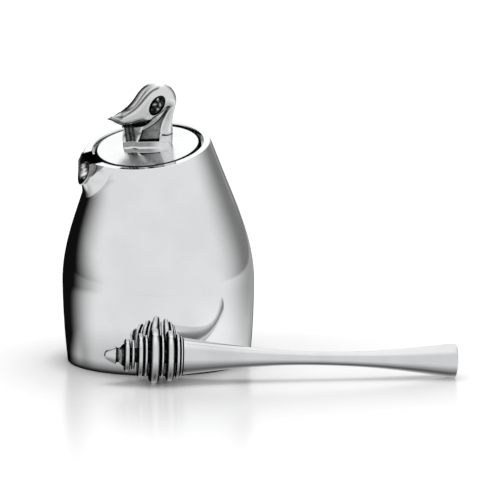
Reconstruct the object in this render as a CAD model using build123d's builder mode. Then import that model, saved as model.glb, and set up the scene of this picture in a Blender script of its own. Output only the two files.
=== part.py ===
"""Honey pot with a lift-off lid and its dipper.

Millimetres, +Z up. The origin is the centre of the pot's foot, on the table. The handle rest is at -X, and
-Y is the front, where the tilted rim is lowest. The dipper lies on the table in front of the pot.
"""
from build123d import *
from math import atan2, cos, radians, sin, sqrt
import os

# ---------------------------------------------------------------- driving dimensions
# Pot: a round body that leans into a tilted rim.
foot_radius = 43.0
belly_radius = 45.0
belly_height = 37.5
cone_slope = 0.593              # how fast the body narrows well above the belly
shoulder_softness = 23.4        # how gently it starts to narrow
rim_radius = 29.3
rim_height = 102.1              # height of the rim circle's centre
rim_offset_x = -4.65            # the rim circle's centre, off the foot's axis
rim_offset_y = -3.5
rim_slope_x = 0.092             # rise of the rim's plane along +X
rim_slope_y = 0.291             # and along +Y
lean_height = 88.0              # where the body leaves its upright axis
lean_softness = 11.0            # how gently it leaves it
body_sections = 13
wall = 3.3
rim_edge_round = 0.5

# Seat of the lid and the collar round the mouth.
lid_recess = 0.6                # edge of the lid's top below the rim
lid_thickness = 2.0             # at the edge
lid_crown = 1.1                 # rise of the lid's top to its flat middle
lid_land_radius = 12.8          # flat middle that carries the knob
lid_clearance = 1.0             # gap round the lid
seat_ledge = 2.5                # width of the ledge under the lid
collar_depth = 9.0              # the collar reaches this far below the rim

# Handle rest: a U-shaped notch with a raised lip.
notch_width = 14.0
notch_depth = 9.3
notch_angle = 20.5              # from -X towards the front, degrees
lip_width = 2.2
lip_rise_top = 1.0
lip_rise_bottom = 3.8

# Foot: a disc closes the core opening.
plate_thickness = 2.5
plate_radius = 38.5
plate_clearance = 0.05
shelf_thickness = 2.0           # inward shelf that the disc bears on
shelf_width = 5.5
inner_corner_round = 8.0

# Lid.
lid_edge_chamfer = 0.7
relief_depth = 0.8              # hollow of the underside
relief_border = 4.5

# Knob: a curled bird's head, standing on a long foot.
knob_thickness = 9.6
knob_height = 30.5
knob_turn = 10.0                # beak turned away from the front, degrees
knob_crown_round = 3.6
foot_front_reach = 10.8         # foot's reach towards the beak
foot_back_reach = 11.7
beak_reach = 17.8
beak_tip_width = 3.4
beak_root_reach = 9.5           # the beak narrows beyond this
# Side outline from the foot's back over the crown, and from the beak's tip under it down the neck.
# Each point is a share of beak_reach behind the centre, and a share of knob_height up.
crown_outline = (
    (0.70, 0.16),
    (0.705, 0.29),
    (0.745, 0.435),
    (0.845, 0.61),
    (0.885, 0.73),
    (0.82, 0.865),
    (0.65, 0.965),
    (0.405, 1.0),
    (0.155, 0.965),
    (-0.075, 0.86),
    (-0.25, 0.73),
    (-0.58, 0.55),
)
beak_tip_share = 0.423
beak_underside = (-0.74, 0.36)
beak_root = (-0.53, 0.325)
neck_front = (-0.60, 0.15)
eye_width = 5.6
eye_height = 10.4
eye_depth = 2.5
eye_centre = (7.7, 20.9)        # distance behind the knob's centre, height
eye_lean = 35.0                 # degrees
panel_depth = 1.2
panel_corners = ((-2.4, 3.0), (6.3, 3.0), (8.0, 14.2), (1.0, 9.6))

# Fasteners of the knob.
screw_diameter = 4.0
screw_head_diameter = 7.0
screw_head_height = 2.4
screw_grip = 9.0                # thread inside the knob
washer_diameter = 9.0
washer_thickness = 0.8
washer_hole_clearance = 0.15
screw_hole_clearance = 0.25     # radial, in the lid
thread_clearance = 0.02
hole_spare = 1.0                # blind holes are this much deeper than what they hold
drive_across_flats = 2.5
drive_depth = 1.4
dowel_diameter = 3.0
dowel_in_lid = 2.0
dowel_in_knob = 5.0
dowel_offset = 7.0              # behind the screw
dowel_clearance = 0.02

# Dipper: a pointed head of discs, and a flared handle.
dipper_gap = 0.5                # air between the pot's belly and the widest disc
dipper_yaw = 5.4                # handle's end turned away from the front, degrees
nose_length = 5.6
nose_radius = 4.3
nose_lip = 0.6                  # length of the rounded back of the nose
spindle_radius = 3.3            # core between the discs
neck_length = 3.4
neck_flare_radius = 5.4
# Width, radius and gap to the next one, from the nose to the handle.
discs = (
    (2.7, 7.5, 0.5),
    (1.6, 6.8, 1.1),
    (2.7, 9.9, 0.4),
    (1.6, 9.2, 0.7),
    (4.6, 12.5, 0.5),
    (1.4, 9.7, 1.1),
    (3.6, 11.4, 0.8),
    (1.6, 10.0, 0.4),
    (0.9, 8.8, 0.3),
)
disc_round_share = 0.42         # edge radius as a share of a disc's width
handle_length = 125.0
handle_root_radius = 8.4
handle_shoulder = (16.4, 6.2)   # distance from the head, radius
handle_taper = (43.0, 3.6)
handle_waist = (66.0, 3.1)
handle_flare = (98.0, 4.7)
handle_end_radius = 7.6
handle_end_straight = 3.0
handle_end_round = 0.6
stud_diameter = 4.0
stud_in_head = 9.0
stud_in_handle = 12.0
stud_clearance = 0.02


# ---------------------------------------------------------------- the pot's form
def lean_ramp(height):
    """Soft ramp: nothing low down, straight above lean_height."""
    over = height - lean_height
    return (over + sqrt(over ** 2 + lean_softness ** 2)) / 2


def lean(height):
    """0 at the foot, 1 at the rim."""
    return (lean_ramp(height) - lean_ramp(0)) / (lean_ramp(rim_height) - lean_ramp(0))


def cone_radius(height):
    """Radius of the upright form that the body follows below the lean."""
    if height < belly_height:
        return belly_radius - (belly_radius - foot_radius) * (1 - height / belly_height) ** 2
    run = cone_slope * (height - belly_height)
    return belly_radius + shoulder_softness - sqrt(shoulder_softness ** 2 + run ** 2)


def body_radius(height):
    spread = rim_radius - cone_radius(rim_height)
    return cone_radius(height) + spread * lean(height)


def body_plane(height):
    """Plane of the body's round section at a height of its leaning axis."""
    share = lean(height)
    return Plane(
        origin=(rim_offset_x * share, rim_offset_y * share, height),
        x_dir=(1, 0, rim_slope_x * share),
        z_dir=(-rim_slope_x * share, -rim_slope_y * share, 1),
    )


def lip_rise(height):
    """How far the raised lip stands out of the body at a height."""
    share = min(1, max(0, (rim_height - height) / notch_depth))
    return lip_rise_top + (lip_rise_bottom - lip_rise_top) * share ** 2


def direction_in(plane, angle):
    """Direction that lies in a plane, at an angle in degrees from its x."""
    turn = radians(angle)
    return (plane.from_local_coords((cos(turn), sin(turn), 0)) - plane.origin).normalized()


rim_plane = body_plane(rim_height)
section_heights = [rim_height * i / (body_sections - 1) for i in range(body_sections)]
bore_radius = rim_radius - wall
mouth_radius = bore_radius - seat_ledge
seat_depth = lid_recess + lid_thickness
shelf_top = plate_thickness + shelf_thickness

# Frame of the notch: x runs across it, y up along the rim's normal, z outwards.
notch_out = direction_in(rim_plane, 180 + notch_angle)
notch_plane = Plane(origin=rim_plane.origin, x_dir=rim_plane.z_dir.cross(notch_out), z_dir=notch_out)
notch_reach = belly_radius      # long enough to leave the body


# ---------------------------------------------------------------- pot
def u_shape(border):
    """The notch's outline, wider by a border all round its U."""
    half = notch_width / 2
    with BuildSketch(notch_plane) as outline:
        with Locations((0, half - notch_depth)):
            Circle(half + border)
            Rectangle(notch_width + 2 * border, 2 * notch_depth, align=(Align.CENTER, Align.MIN))
    return outline.sketch


# Helper solids of the casting: the room inside, and the raised lip of the notch.
with BuildPart() as cavity:
    for height in [shelf_top] + [h for h in section_heights if h > shelf_top + wall]:
        with BuildSketch(body_plane(height)):
            Circle(body_radius(height) - wall)
    loft()
    fillet(cavity.edges().group_by(Axis.Z)[0], inner_corner_round)
    split(bisect_by=rim_plane.offset(-collar_depth), keep=Keep.BOTTOM)

with BuildPart() as lip_core:
    for height in section_heights:
        with BuildSketch(body_plane(height)):
            Circle(body_radius(height) - wall / 2)
    loft()

with BuildPart() as lip:
    for height in section_heights:
        with BuildSketch(body_plane(height)):
            Circle(body_radius(height) + lip_rise(height))
    loft()
    extrude(u_shape(lip_width), amount=notch_reach, mode=Mode.INTERSECT)
    add(lip_core.part, mode=Mode.SUBTRACT)

def lies_in_rim(edge):
    """True for an edge that stays in the rim's plane."""
    heights = [abs(rim_plane.to_local_coords(edge @ share).Z) for share in (0.3, 0.6)]
    return max(heights) < 0.01


with BuildPart() as pot_body:
    for height in section_heights:
        with BuildSketch(body_plane(height)):
            Circle(body_radius(height))
    loft()
    add(lip.part)
    add(cavity.part, mode=Mode.SUBTRACT)
    with BuildSketch(rim_plane):
        Circle(bore_radius)
    extrude(amount=-seat_depth, mode=Mode.SUBTRACT)
    with BuildSketch(rim_plane):
        Circle(mouth_radius)
    extrude(amount=-(collar_depth + wall), mode=Mode.SUBTRACT)
    extrude(u_shape(0), amount=notch_reach, mode=Mode.SUBTRACT)
    with BuildSketch(Plane.XY):
        Circle(plate_radius + plate_clearance)
    extrude(amount=plate_thickness, mode=Mode.SUBTRACT)
    with BuildSketch(Plane.XY):
        Circle(plate_radius - shelf_width)
    extrude(amount=shelf_top + wall, mode=Mode.SUBTRACT)
    fillet(pot_body.edges().filter_by(lies_in_rim), rim_edge_round)

with BuildPart() as base_plate:
    with BuildSketch(Plane.XY):
        Circle(plate_radius)
    extrude(amount=plate_thickness)

# ---------------------------------------------------------------- lid and knob
lid_edge = rim_plane.offset(-lid_recess)
lid_under = lid_edge.offset(-lid_thickness)
screw_seat = lid_under.offset(relief_depth)
lid_land = lid_edge.offset(lid_crown)
lid_radius = bore_radius - lid_clearance
knob_plane = Plane(
    origin=lid_land.origin,
    x_dir=direction_in(lid_land, -knob_turn),
    z_dir=lid_land.z_dir,
)
lid_section = Plane(
    origin=lid_under.origin,
    x_dir=lid_under.x_dir,
    z_dir=lid_under.x_dir.cross(lid_under.z_dir),
)

with BuildPart() as lid_disc:
    with BuildSketch(lid_section):
        with BuildLine():
            Polyline(
                (lid_land_radius, lid_thickness + lid_crown),
                (0, lid_thickness + lid_crown),
                (0, relief_depth),
                (lid_radius - relief_border, relief_depth),
                (lid_radius - relief_border, 0),
                (lid_radius, 0),
                (lid_radius, lid_thickness - lid_edge_chamfer),
                (lid_radius - lid_edge_chamfer, lid_thickness),
            )
            TangentArc(
                (lid_land_radius, lid_thickness + lid_crown),
                (lid_radius - lid_edge_chamfer, lid_thickness),
                tangent=(1, 0),
            )
        make_face()
    revolve(axis=Axis(lid_under.origin, lid_under.z_dir))
    with BuildSketch(screw_seat):
        Circle(screw_diameter / 2 + screw_hole_clearance)
    extrude(amount=lid_thickness + lid_crown, mode=Mode.SUBTRACT)
    with BuildSketch(knob_plane):
        with Locations((dowel_offset, 0)):
            Circle(dowel_diameter / 2 + dowel_clearance)
    extrude(amount=-dowel_in_lid, mode=Mode.SUBTRACT)

# Profile plane of the knob: x points to the back of the head, y up along the lid's normal.
profile_plane = Plane(
    origin=knob_plane.origin,
    x_dir=knob_plane.x_dir,
    z_dir=knob_plane.x_dir.cross(knob_plane.z_dir),
)



def knob_point(share):
    """Point of the knob's profile from its shares of reach and height."""
    return (share[0] * beak_reach, share[1] * knob_height)


beak_tip = knob_point((-1, beak_tip_share))

with BuildPart() as knob:
    with BuildSketch(profile_plane.offset(-knob_thickness / 2)):
        with BuildLine():
            Line((-foot_front_reach, 0), (foot_back_reach, 0))
            Spline((foot_back_reach, 0), *[knob_point(share) for share in crown_outline], beak_tip)
            Spline(beak_tip, knob_point(beak_underside), knob_point(beak_root))
            Spline(knob_point(beak_root), knob_point(neck_front), (-foot_front_reach, 0))
        make_face()
    extrude(amount=knob_thickness)
    crown_edges = knob.edges().sort_by(SortBy.LENGTH)[-2:]
    fillet(crown_edges, knob_crown_round)
    with BuildSketch(knob_plane):
        for side in (-1, 1):
            with BuildLine():
                Polyline(
                    (-beak_root_reach, side * knob_thickness / 2),
                    (-beak_reach - beak_tip_width, side * beak_tip_width / 2),
                    (-beak_reach - beak_tip_width, side * knob_thickness),
                    (-beak_root_reach, side * knob_thickness),
                    close=True,
                )
            make_face()
    extrude(amount=knob_height, mode=Mode.SUBTRACT)
    for side in (-1, 1):
        side_plane = profile_plane.offset(side * knob_thickness / 2)
        with BuildSketch(side_plane):
            with Locations(Location((*eye_centre, 0), (0, 0, -eye_lean))):
                Ellipse(eye_width / 2, eye_height / 2)
        extrude(amount=-side * eye_depth, mode=Mode.SUBTRACT)
        with BuildSketch(side_plane):
            with BuildLine():
                Polyline(*panel_corners, close=True)
            make_face()
        extrude(amount=-side * panel_depth, mode=Mode.SUBTRACT)
    with BuildSketch(knob_plane):
        Circle(screw_diameter / 2 + thread_clearance)
    extrude(amount=screw_grip + hole_spare, mode=Mode.SUBTRACT)
    with BuildSketch(knob_plane):
        with Locations((dowel_offset, 0)):
            Circle(dowel_diameter / 2 + dowel_clearance)
    extrude(amount=dowel_in_knob + hole_spare, mode=Mode.SUBTRACT)

# Screw from below: washer on the lid's underside, then the head.
screw_head_plane = screw_seat.offset(-washer_thickness)
screw_length = washer_thickness + lid_thickness + lid_crown - relief_depth + screw_grip

with BuildPart() as knob_washer:
    with BuildSketch(screw_seat):
        Circle(washer_diameter / 2)
        Circle(screw_diameter / 2 + washer_hole_clearance, mode=Mode.SUBTRACT)
    extrude(amount=-washer_thickness)

with BuildPart() as knob_screw:
    with BuildSketch(screw_head_plane):
        Circle(screw_head_diameter / 2)
    extrude(amount=-screw_head_height)
    with BuildSketch(screw_head_plane):
        Circle(screw_diameter / 2)
    extrude(amount=screw_length)
    with BuildSketch(screw_head_plane.offset(-screw_head_height)):
        RegularPolygon(drive_across_flats / 2, 6, major_radius=False)
    extrude(amount=drive_depth, mode=Mode.SUBTRACT)

with BuildPart() as knob_dowel:
    with BuildSketch(knob_plane.offset(-dowel_in_lid)):
        with Locations((dowel_offset, 0)):
            Circle(dowel_diameter / 2)
    extrude(amount=dowel_in_lid + dowel_in_knob)

# ---------------------------------------------------------------- dipper
# Distances along the dipper are counted from its nose.
disc_starts = []
place = nose_length + neck_length
for width, radius, gap in discs:
    disc_starts.append(place)
    place += width + gap
head_length = place - discs[-1][2]
handle_start = place
dipper_length = handle_start + handle_length
widest = max(range(len(discs)), key=lambda row: discs[row][1])
widest_width, widest_radius, _ = discs[widest]
widest_rest = disc_starts[widest] + widest_width * (1 - disc_round_share)
end_rest = dipper_length - handle_end_round

# It rests on its widest disc and on the handle's end, so its axis falls towards the handle.
dipper_pitch = atan2(widest_radius - handle_end_radius, end_rest - widest_rest)
yaw = radians(dipper_yaw)
dipper_dir = Vector(cos(dipper_pitch) * cos(yaw), cos(dipper_pitch) * sin(yaw), -sin(dipper_pitch))
widest_centre = Vector(0, -(belly_radius + widest_radius + dipper_gap), widest_radius * cos(dipper_pitch))
nose_point = widest_centre - dipper_dir * widest_rest
dipper_axis = Axis(nose_point, dipper_dir)
turned_plane = Plane(origin=nose_point, x_dir=dipper_dir, z_dir=dipper_dir.cross(Vector(0, 0, 1)))
stud_start = handle_start - stud_in_head


def bore_plane(distance):
    """Plane across the dipper at a distance from its nose."""
    return Plane(origin=nose_point + dipper_dir * distance, z_dir=dipper_dir)


with BuildPart() as dipper_head:
    with BuildSketch(turned_plane):
        with BuildLine():
            Line((0, 0), (nose_length, 0))
            Line((nose_length, 0), (nose_length, nose_radius * 0.8))
            Line((nose_length, nose_radius * 0.8), (nose_length - nose_lip, nose_radius))
            Spline(
                (nose_length - nose_lip, nose_radius),
                (nose_length * 0.35, nose_radius * 0.62),
                (0, 0),
                tangents=((-1, -0.1), (0, -1)),
            )
        make_face()
        with BuildLine():
            Polyline(
                (nose_length, 0),
                (nose_length, spindle_radius),
                (nose_length + neck_length / 3, spindle_radius),
                (nose_length + neck_length, neck_flare_radius),
                (nose_length + neck_length, 0),
                close=True,
            )
        make_face()
        for start, (width, radius, gap) in zip(disc_starts, discs):
            with Locations((start + width / 2, 0)):
                RectangleRounded(width, 2 * radius, width * disc_round_share)
        with Locations((nose_length + neck_length, 0)):
            Rectangle(head_length - nose_length - neck_length, spindle_radius, align=(Align.MIN, Align.MIN))
        with Locations((0, 0)):
            Rectangle(dipper_length, 2 * widest_radius, align=(Align.MIN, Align.MAX), mode=Mode.SUBTRACT)
    revolve(axis=dipper_axis)
    with BuildSketch(bore_plane(handle_start)):
        Circle(stud_diameter / 2 + stud_clearance)
    extrude(amount=-(stud_in_head + hole_spare), mode=Mode.SUBTRACT)

with BuildPart() as dipper_handle:
    with BuildSketch(turned_plane):
        end_edge = handle_start + handle_length
        with BuildLine():
            Line((handle_start, 0), (handle_start, handle_root_radius))
            Spline(
                (handle_start, handle_root_radius),
                (handle_start + handle_shoulder[0], handle_shoulder[1]),
                (handle_start + handle_taper[0], handle_taper[1]),
                (handle_start + handle_waist[0], handle_waist[1]),
                (handle_start + handle_flare[0], handle_flare[1]),
                (end_edge - handle_end_straight, handle_end_radius),
            )
            Line((end_edge - handle_end_straight, handle_end_radius), (end_edge, handle_end_radius))
            Line((end_edge, handle_end_radius), (end_edge, 0))
            Line((end_edge, 0), (handle_start, 0))
        make_face()
    revolve(axis=dipper_axis)
    fillet(dipper_handle.edges().filter_by(GeomType.CIRCLE).sort_by(dipper_axis)[-1], handle_end_round)
    with BuildSketch(bore_plane(handle_start)):
        Circle(stud_diameter / 2 + stud_clearance)
    extrude(amount=stud_in_handle + hole_spare, mode=Mode.SUBTRACT)

with BuildPart() as dipper_stud:
    with BuildSketch(bore_plane(stud_start)):
        Circle(stud_diameter / 2)
    extrude(amount=stud_in_head + stud_in_handle)

# ---------------------------------------------------------------- files
pieces = {
    "pot_body": pot_body,
    "base_plate": base_plate,
    "lid_disc": lid_disc,
    "knob": knob,
    "knob_screw": knob_screw,
    "knob_washer": knob_washer,
    "knob_dowel": knob_dowel,
    "dipper_head": dipper_head,
    "dipper_handle": dipper_handle,
    "dipper_stud": dipper_stud,
}
os.makedirs("parts", exist_ok=True)
for name, piece in pieces.items():
    piece.part.label = name
    export_step(piece.part, f"parts/{name}.step")
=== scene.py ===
"""Looks of the honey pot with its lift-off lid and dipper: polished metal on a white table."""
from math import atan2, cos, pi, radians, sin, sqrt

import bpy
import numpy as np
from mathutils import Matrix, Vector


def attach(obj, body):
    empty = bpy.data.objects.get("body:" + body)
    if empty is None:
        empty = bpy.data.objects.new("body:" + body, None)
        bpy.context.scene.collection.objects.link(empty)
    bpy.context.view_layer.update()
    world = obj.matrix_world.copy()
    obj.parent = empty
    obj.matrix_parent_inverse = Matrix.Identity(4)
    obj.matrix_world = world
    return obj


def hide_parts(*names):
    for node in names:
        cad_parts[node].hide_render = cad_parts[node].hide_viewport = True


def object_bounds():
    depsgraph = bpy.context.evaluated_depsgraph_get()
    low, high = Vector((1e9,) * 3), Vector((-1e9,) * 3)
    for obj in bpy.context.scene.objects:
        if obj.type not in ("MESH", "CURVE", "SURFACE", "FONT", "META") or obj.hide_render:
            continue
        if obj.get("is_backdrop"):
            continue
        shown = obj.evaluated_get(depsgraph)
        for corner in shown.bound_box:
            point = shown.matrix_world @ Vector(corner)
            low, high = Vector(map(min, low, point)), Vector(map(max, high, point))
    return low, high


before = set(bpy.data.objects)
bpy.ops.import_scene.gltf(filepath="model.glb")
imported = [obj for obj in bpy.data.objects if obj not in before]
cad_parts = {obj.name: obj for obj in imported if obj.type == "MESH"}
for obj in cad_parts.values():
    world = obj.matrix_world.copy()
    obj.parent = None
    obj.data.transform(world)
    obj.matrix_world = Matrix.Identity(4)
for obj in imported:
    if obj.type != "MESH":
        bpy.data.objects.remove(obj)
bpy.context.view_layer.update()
MM = 0.001

# ---------------------------------------------------------------- form of the pot, in millimetres
FOOT_R, BELLY_R, BELLY_H = 43.0, 45.0, 37.5
CONE_SLOPE, SHOULDER = 0.593, 23.4
RIM_R, RIM_H = 29.3, 102.1
OFFSET_X, OFFSET_Y = -4.65, -3.5
SLOPE_X, SLOPE_Y = 0.092, 0.291
LEAN_H, LEAN_SOFT = 88.0, 11.0
WALL = 3.3
BORE_R = RIM_R - WALL
MOUTH_R = BORE_R - 2.5
COLLAR_DEPTH = 9.0
NOTCH_W, NOTCH_DEPTH, NOTCH_TURN = 14.0, 9.3, 20.5
LIP_W, LIP_TOP, LIP_BOTTOM = 2.2, 1.0, 3.8
FLARE, CREASE = 7.6, 0.05
LID_GAP, LID_RECESS, LID_EDGE, LID_CROWN, LAND_R = 1.0, 0.6, 2.0, 1.1, 12.8
SEAT_DEPTH = LID_RECESS + LID_EDGE


def ramp(h):
    return (h - LEAN_H + np.sqrt((h - LEAN_H) ** 2 + LEAN_SOFT ** 2)) / 2


def lean(h):
    return (ramp(h) - ramp(0.0)) / (ramp(RIM_H) - ramp(0.0))


def cone(h):
    low = BELLY_R - (BELLY_R - FOOT_R) * (1 - h / BELLY_H) ** 2
    high = BELLY_R + SHOULDER - np.sqrt(SHOULDER ** 2 + (CONE_SLOPE * (h - BELLY_H)) ** 2)
    return np.where(h < BELLY_H, low, high)


def body_r(h):
    return cone(h) + (RIM_R - cone(RIM_H)) * lean(h)


def unit(v):
    v = np.asarray(v, float)
    return v / np.linalg.norm(v, axis=-1, keepdims=True)


def section(h):
    """Centre, x, y and normal of the body's section plane at heights h."""
    h = np.asarray(h, float)
    s = lean(h)
    one = np.ones_like(h)
    centre = np.stack([OFFSET_X * s, OFFSET_Y * s, h], -1)
    x = unit(np.stack([one, 0 * s, SLOPE_X * s], -1))
    n = unit(np.stack([-SLOPE_X * s, -SLOPE_Y * s, one], -1))
    return centre, x, np.cross(n, x), n


RIM_C, RIM_X, RIM_Y, RIM_N = section(RIM_H)
OUT = RIM_X * cos(radians(180 + NOTCH_TURN)) + RIM_Y * sin(radians(180 + NOTCH_TURN))
ACROSS = np.cross(RIM_N, OUT)


def on_section(h, r, angle):
    centre, x, y, _ = section(h)
    r = np.asarray(r, float)
    return centre + r[..., None] * (x * np.cos(angle)[..., None] + y * np.sin(angle)[..., None])


def on_rim(r, z, angle):
    """Ring in the rim's plane, z above it."""
    ring = RIM_X * np.cos(angle)[:, None] + RIM_Y * np.sin(angle)[:, None]
    return RIM_C + r * ring + z * RIM_N


def height_of(p):
    """Height of the section plane that holds each point."""
    low, high = p[..., 2] - 40, p[..., 2] + 40
    for _ in range(40):
        mid = (low + high) / 2
        s = lean(mid)
        over = mid - p[..., 2] + s * (
            SLOPE_X * (OFFSET_X * s - p[..., 0]) + SLOPE_Y * (OFFSET_Y * s - p[..., 1])
        )
        high = np.where(over > 0, mid, high)
        low = np.where(over > 0, low, mid)
    return (low + high) / 2


def outside(p):
    """Distance of points outside the body's outer surface, along its section."""
    h = height_of(p)
    centre = section(h)[0]
    return np.linalg.norm(p - centre, axis=-1) - body_r(h)


def notch_coords(p):
    q = p - RIM_C
    return q @ ACROSS, q @ RIM_N, q @ OUT


def from_u(a, b):
    """Distance outside the notch's U outline."""
    half = NOTCH_W / 2
    b0 = half - NOTCH_DEPTH
    return np.where(b > b0, np.abs(a), np.hypot(a, b - b0)) - half


def lip_rise(h):
    share = np.clip((RIM_H - h) / NOTCH_DEPTH, 0, 1)
    return LIP_TOP + (LIP_BOTTOM - LIP_TOP) * share ** 2


def smooth(x, low, high):
    t = np.clip((x - low) / (high - low), 0, 1)
    return t * t * (3 - 2 * t)


# ---------------------------------------------------------------- mesh helpers
def make_object(name, points, faces, material, body, replaced=(), sharp=38.0):
    mesh = bpy.data.meshes.new(name)
    mesh.from_pydata([tuple(p) for p in (np.asarray(points) * MM).tolist()], [], faces)
    mesh.validate()
    mesh.update()
    mesh.shade_smooth()
    mesh.set_sharp_from_angle(angle=radians(sharp))
    obj = bpy.data.objects.new(name, mesh)
    bpy.context.scene.collection.objects.link(obj)
    mesh.materials.append(material)
    if body:
        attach(obj, body)
    if replaced:
        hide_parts(*replaced)
    return obj


def paint_shade(obj, shares):
    """Store painted shade and painted dark reflections, vertex by vertex, from 0 for bright metal to 1 for black."""
    field = obj.data.attributes.new("painted_shade", "FLOAT", "POINT")
    field.data.foreach_set("value", np.clip(np.asarray(shares, float), 0, 1))


def weave(rows, columns, base=0, closed=True, flip=False):
    """Quads of a grid of rows by columns; closed joins the last column to the first."""
    quads = []
    for i in range(rows - 1):
        for j in range(columns if closed else columns - 1):
            k = (j + 1) % columns
            a, b = base + i * columns + j, base + i * columns + k
            c, d = base + (i + 1) * columns + k, base + (i + 1) * columns + j
            quads.append((a, d, c, b) if flip else (a, b, c, d))
    return quads


def curve_through(points, count):
    """Natural cubic spline through points, as count points evenly spaced along it."""
    p = np.asarray(points, float)
    t = np.concatenate([[0], np.cumsum(np.linalg.norm(np.diff(p, axis=0), axis=1))])
    n = len(p)
    if n == 2:
        s = np.linspace(0, 1, count)[:, None]
        return p[0] * (1 - s) + p[1] * s
    step = np.diff(t)
    m = np.zeros((n, n))
    right = np.zeros((n, p.shape[1]))
    m[0, 0] = m[-1, -1] = 1
    for i in range(1, n - 1):
        m[i, i - 1], m[i, i], m[i, i + 1] = step[i - 1], 2 * (step[i - 1] + step[i]), step[i]
        right[i] = 6 * ((p[i + 1] - p[i]) / step[i] - (p[i] - p[i - 1]) / step[i - 1])
    bend = np.linalg.solve(m, right)

    def at(s):
        i = np.clip(np.searchsorted(t, s, side="right") - 1, 0, n - 2)
        k, a, b = step[i][:, None], (t[i + 1] - s)[:, None], (s - t[i])[:, None]
        return (
            (bend[i] * a ** 3 + bend[i + 1] * b ** 3) / (6 * k)
            + (p[i] / k - bend[i] * k / 6) * a
            + (p[i + 1] / k - bend[i + 1] * k / 6) * b
        )

    fine = at(np.linspace(0, t[-1], 1200))
    along = np.concatenate([[0], np.cumsum(np.linalg.norm(np.diff(fine, axis=0), axis=1))])
    want = np.linspace(0, along[-1], count)
    return np.stack([np.interp(want, along, fine[:, k]) for k in range(p.shape[1])], -1)


def lathe(name, profile, origin, axis, start, material, body, replaced, segments=256, sharp=38.0,
          painted_shade=None, around=None):
    """Surface of revolution; profile points are (distance along the axis, radius), from one end to the other."""
    profile = np.asarray(profile, float)
    axis, start = unit(axis), unit(start)
    side = np.cross(axis, start)
    angle = np.linspace(0, 2 * np.pi, segments, endpoint=False)
    ring = start * np.cos(angle)[:, None] + side * np.sin(angle)[:, None]
    points, faces, rows = [], [], []
    for z, r in profile:
        rows.append(len(points))
        if r < 1e-6:
            points.append(origin + axis * z)
        else:
            points.extend(origin + axis * z + r * ring)
    for i in range(len(profile) - 1):
        a, b = rows[i], rows[i + 1]
        for j in range(segments):
            k = (j + 1) % segments
            if profile[i][1] < 1e-6:
                faces.append((a, b + k, b + j))
            elif profile[i + 1][1] < 1e-6:
                faces.append((a + j, a + k, b))
            else:
                faces.append((a + j, a + k, b + k, b + j))
    obj = make_object(name, points, faces, material, body, replaced, sharp)
    if painted_shade is not None:
        share = np.ones(segments) if around is None else around(angle)
        rings = [dark * (share if r >= 1e-6 else share[:1]) for (z, r), dark in zip(profile, painted_shade)]
        paint_shade(obj, np.concatenate(rings))
    return obj


def rounded(corners, radii, steps=6):
    """Polyline with its corners rounded by circle-like arcs."""
    out = []
    count = len(corners)
    for i, (p, r) in enumerate(zip(corners, radii)):
        p = np.array(p, float)
        if r <= 0 or i in (0, count - 1):
            out.append(p)
            continue
        a, b = np.array(corners[i - 1], float) - p, np.array(corners[i + 1], float) - p
        la, lb = np.linalg.norm(a), np.linalg.norm(b)
        a, b = a / la, b / lb
        half = np.arccos(np.clip(a @ b, -1, 1)) / 2
        reach = min(r / np.tan(half), 0.49 * la, 0.49 * lb)
        rr = reach * np.tan(half)
        centre = p + unit(a + b) * rr / np.sin(half)
        p0, p1 = p + a * reach - centre, p + b * reach - centre
        total = np.arccos(np.clip(p0 @ p1 / rr ** 2, -1, 1))
        for s in np.linspace(0, 1, steps + 1):
            out.append(centre + (np.sin((1 - s) * total) * p0 + np.sin(s * total) * p1) / np.sin(total))
    return out


# ---------------------------------------------------------------- materials
def add_node(tree, kind, inputs=None, **props):
    node = tree.nodes.new(kind)
    for key, value in props.items():
        setattr(node, key, value)
    for key, value in (inputs or {}).items():
        if isinstance(value, bpy.types.NodeSocket):
            tree.links.new(value, node.inputs[key])
        else:
            node.inputs[key].default_value = value
    return node


def calc(tree, operation, a, b=0.0, c=0.0):
    return add_node(tree, "ShaderNodeMath", {0: a, 1: b, 2: c}, operation=operation).outputs[0]


def remap(tree, value, low, high, to_low=0.0, to_high=1.0):
    inputs = {"Value": value, "From Min": low, "From Max": high, "To Min": to_low, "To Max": to_high}
    return add_node(tree, "ShaderNodeMapRange", inputs, interpolation_type="SMOOTHSTEP").outputs[0]


def mix_colour(tree, share, a, b):
    node = add_node(tree, "ShaderNodeMix", {0: share}, data_type="RGBA")
    for index, value in ((6, a), (7, b)):
        if isinstance(value, bpy.types.NodeSocket):
            tree.links.new(value, node.inputs[index])
        else:
            node.inputs[index].default_value = (*value, 1)
    return node.outputs[2]


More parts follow.
